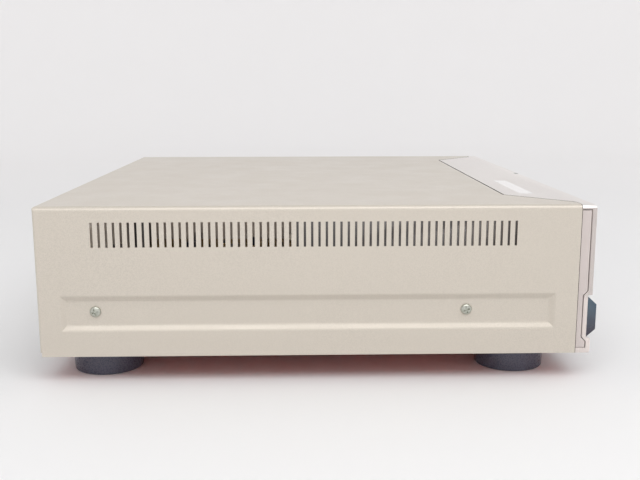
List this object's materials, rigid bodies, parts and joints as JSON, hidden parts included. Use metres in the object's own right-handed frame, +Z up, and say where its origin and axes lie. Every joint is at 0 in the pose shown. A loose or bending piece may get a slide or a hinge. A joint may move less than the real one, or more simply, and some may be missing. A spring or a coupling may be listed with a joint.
{
  "type": "disc player",
  "caption": "Full-width disc player: folded cover with vents, metal front with a smoked bar, motor tray, lifting pickup, sockets at the back.",
  "frame": {"origin": "on the surface that the feet stand on, under the middle of the whole player", "axes": "+X across to the right seen from the front, +Y from the front to the back, +Z up"},
  "size_m": [0.42, 0.4084, 0.128],
  "materials": {
    "cover_paint": "satin",
    "copper_plate": "satin",
    "rear_paint": "satin",
    "front_aluminium": "satin",
    "front_plastic": "satin",
    "smoked_acrylic": "polished",
    "display_glass": "gloss",
    "lens_plastic": "gloss",
    "foot_plastic": "satin",
    "zinc": "satin",
    "button_plastic": "satin",
    "tray_plastic": "matte",
    "acetal": "satin",
    "black_plastic": "satin",
    "belt_rubber": "matte",
    "pulley_brass": "satin",
    "motor_steel": "satin",
    "plated_steel": "satin",
    "rod_steel": "polished",
    "sled_casting": "satin",
    "lens_holder": "gloss",
    "board_laminate": "satin",
    "winding_tape": "satin",
    "sink_aluminium": "satin",
    "chip_epoxy": "satin",
    "jack_plating": "gloss"
  },
  "bodies": {
    "root": {"top_cover": "cover_paint", "base_chassis": "copper_plate", "rear_panel": "rear_paint", "front_panel": "front_aluminium", "front_subframe": "front_plastic", "display_bar": "smoked_acrylic", "display_tube": "display_glass", "indicator_lenses": "lens_plastic", "feet": "foot_plastic", "cover_screws": "zinc", "loading_motor": "motor_steel", "drive_belt": "belt_rubber", "loader_base": "black_plastic", "loader_pillars": "zinc", "clamp_bridge": "plated_steel", "power_board": "board_laminate", "main_board": "board_laminate", "audio_board": "board_laminate", "front_board": "board_laminate", "key_switches": "chip_epoxy", "power_transformer": "winding_tape", "filter_capacitor": "chip_epoxy", "heat_sink": "sink_aluminium", "main_chips": "chip_epoxy", "jack_housings": "black_plastic", "jack_barrels": "jack_plating", "small_socket": "black_plastic", "optical_socket": "black_plastic", "mains_inlet": "black_plastic", "inlet_pins": "jack_plating"},
    "tray": {"disc_tray": "tray_plastic", "tray_fascia": "front_aluminium"},
    "drive_gear": {"drive_gear": "acetal"},
    "pulley_gear": {"pulley_gear": "acetal"},
    "motor_pulley": {"motor_pulley": "pulley_brass"},
    "cam_slide": {"cam_slide": "acetal"},
    "traverse": {"lift_frame": "black_plastic", "traverse_plate": "plated_steel", "dampers": "belt_rubber", "guide_rods": "rod_steel", "spindle_motor": "motor_steel", "sled_motor": "motor_steel"},
    "pickup": {"pickup_body": "sled_casting", "pickup_lens": "lens_holder"},
    "lead_screw": {"lead_screw": "rod_steel"},
    "turntable": {"turntable": "black_plastic"},
    "clamper": {"clamper": "black_plastic"},
    "optical_door": {"optical_door": "black_plastic"},
    "power_button": {"power_button": "button_plastic"},
    "open_button": {"open_button": "button_plastic"},
    "stop_button": {"stop_button": "button_plastic"},
    "pause_button": {"pause_button": "button_plastic"},
    "play_button": {"play_button": "button_plastic"},
    "skip_back_button": {"skip_back_button": "button_plastic"},
    "skip_forward_button": {"skip_forward_button": "button_plastic"}
  },
  "joints": [
    {"name": "tray_slide", "type": "slide", "parent": "root", "child": "tray", "axis": [0, -1, 0], "range_m": [0, 0.138]},
    {"name": "drive_gear_spin", "type": "hinge", "parent": "root", "child": "drive_gear", "pos_m": [-0.053, -0.1628, 0.08045], "axis": [0, 0, 1], "range_deg": [0, 879.04]},
    {"name": "pulley_gear_spin", "type": "hinge", "parent": "root", "child": "pulley_gear", "pos_m": [-0.029, -0.1628, 0.07145], "axis": [0, 0, 1], "range_deg": [-1933.28, 0]},
    {"name": "motor_pulley_spin", "type": "hinge", "parent": "root", "child": "motor_pulley", "pos_m": [0.012, -0.1628, 0.07145], "axis": [0, 0, 1], "range_deg": [-4725.07, 0]},
    {"name": "cam_travel", "type": "slide", "parent": "root", "child": "cam_slide", "axis": [1, 0, 0], "range_m": [0, 0.02]},
    {"name": "traverse_lift", "type": "hinge", "parent": "root", "child": "traverse", "pos_m": [0, -0.0048, 0.07545], "axis": [-1, 0, 0], "range_deg": [0, 4]},
    {"name": "pickup_travel", "type": "slide", "parent": "traverse", "child": "pickup", "axis": [0, 0.9976, 0.0698], "range_m": [0, 0.036]},
    {"name": "lead_screw_spin", "type": "hinge", "parent": "traverse", "child": "lead_screw", "pos_m": [0.035, -0.0992, 0.07787], "axis": [0, 0.9976, 0.0698], "range_deg": [0, 4320.5]},
    {"name": "disc_spin", "type": "hinge", "parent": "traverse", "child": "turntable", "pos_m": [0, -0.11997, 0.08825], "axis": [0, -0.0698, 0.9976], "continuous": true},
    {"name": "clamper_spin", "type": "hinge", "parent": "root", "child": "clamper", "pos_m": [0, -0.1188, 0.10645], "axis": [0, 0, 1], "continuous": true},
    {"name": "optical_door_swing", "type": "hinge", "parent": "root", "child": "optical_door", "pos_m": [0.158, 0.1931, 0.05255], "axis": [-1, 0, 0], "range_deg": [0, 80], "stiffness_Nm_per_rad": 0.00002, "springref_deg": -17.19},
    {"name": "power_press", "type": "slide", "parent": "root", "child": "power_button", "axis": [0, 1, 0], "range_m": [0, 0.0012], "stiffness_N_per_m": 400, "springref_m": -0.0005},
    {"name": "open_press", "type": "slide", "parent": "root", "child": "open_button", "axis": [0, 1, 0], "range_m": [0, 0.0012], "stiffness_N_per_m": 400, "springref_m": -0.0005},
    {"name": "stop_press", "type": "slide", "parent": "root", "child": "stop_button", "axis": [0, 1, 0], "range_m": [0, 0.0012], "stiffness_N_per_m": 400, "springref_m": -0.0005},
    {"name": "pause_press", "type": "slide", "parent": "root", "child": "pause_button", "axis": [0, 1, 0], "range_m": [0, 0.0012], "stiffness_N_per_m": 400, "springref_m": -0.0005},
    {"name": "play_press", "type": "slide", "parent": "root", "child": "play_button", "axis": [0, 1, 0], "range_m": [0, 0.0012], "stiffness_N_per_m": 400, "springref_m": -0.0005},
    {"name": "skip_back_press", "type": "slide", "parent": "root", "child": "skip_back_button", "axis": [0, 1, 0], "range_m": [0, 0.0012], "stiffness_N_per_m": 400, "springref_m": -0.0005},
    {"name": "skip_forward_press", "type": "slide", "parent": "root", "child": "skip_forward_button", "axis": [0, 1, 0], "range_m": [0, 0.0012], "stiffness_N_per_m": 400, "springref_m": -0.0005}
  ],
  "couplings": [
    {"joint": "drive_gear_spin", "follows": "tray_slide", "rad_per_m": 111.11},
    {"joint": "pulley_gear_spin", "follows": "tray_slide", "rad_per_m": -244.44},
    {"joint": "motor_pulley_spin", "follows": "tray_slide", "rad_per_m": -597.53},
    {"joint": "traverse_lift", "follows": "cam_travel", "rad_per_m": 3.4905},
    {"joint": "lead_screw_spin", "follows": "pickup_travel", "rad_per_m": 2094.4},
    {"joint": "clamper_spin", "follows": "disc_spin", "ratio": 1}
  ]
}
